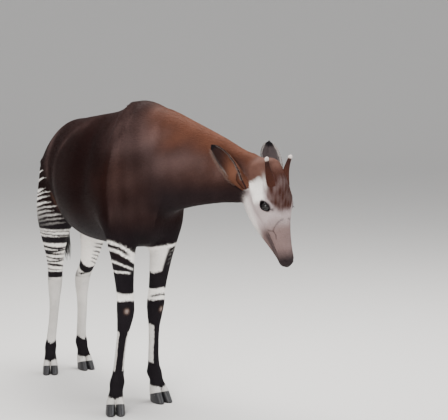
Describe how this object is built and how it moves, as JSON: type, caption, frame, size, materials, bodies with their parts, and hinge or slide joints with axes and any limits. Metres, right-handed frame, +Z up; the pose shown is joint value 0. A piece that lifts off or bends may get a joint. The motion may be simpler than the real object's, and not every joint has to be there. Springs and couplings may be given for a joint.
{
  "type": "okapi",
  "caption": "Life-size male okapi standing on level ground, its neck stretched out low to its left and its head hung down to browse.",
  "frame": {"origin": "middle of the bottom of the whole animal's box, on the floor", "axes": "+X the way the trunk faces, +Y the animal's left, +Z up"},
  "size_m": [1.7942, 0.7382, 1.498],
  "materials": {
    "chocolate": "short sleek coat, dark chocolate brown with white stripes on the thighs and upper legs",
    "russet": "short sleek coat, red-brown",
    "face": "short coat, pale grey cheeks and a red-brown forehead",
    "shank": "short coat, cream with black bands at the knees and fetlocks",
    "ossicone": "skin-covered horn with a bare pale tip",
    "horn": "dark grey hoof horn",
    "eye": "wet, nearly black",
    "tuft": "long black hair"
  },
  "bodies": {
    "root": {"claw_front_left_left": "horn", "claw_front_left_right": "horn", "claw_front_right_left": "horn", "claw_front_right_right": "horn", "claw_hind_left_left": "horn", "claw_hind_left_right": "horn", "claw_hind_right_left": "horn", "claw_hind_right_right": "horn", "ear_left": "russet", "ear_right": "russet", "eye_left": "eye", "eye_right": "eye", "head": "face", "leg_front_left_lower": "shank", "leg_front_left_upper": "chocolate", "leg_front_right_lower": "shank", "leg_front_right_upper": "chocolate", "leg_hind_left_lower": "shank", "leg_hind_left_upper": "chocolate", "leg_hind_right_lower": "shank", "leg_hind_right_upper": "chocolate", "neck": "russet", "ossicone_left": "ossicone", "ossicone_right": "ossicone", "tail": "chocolate", "tail_tuft": "tuft", "torso": "chocolate"}
  },
  "joints": []
}
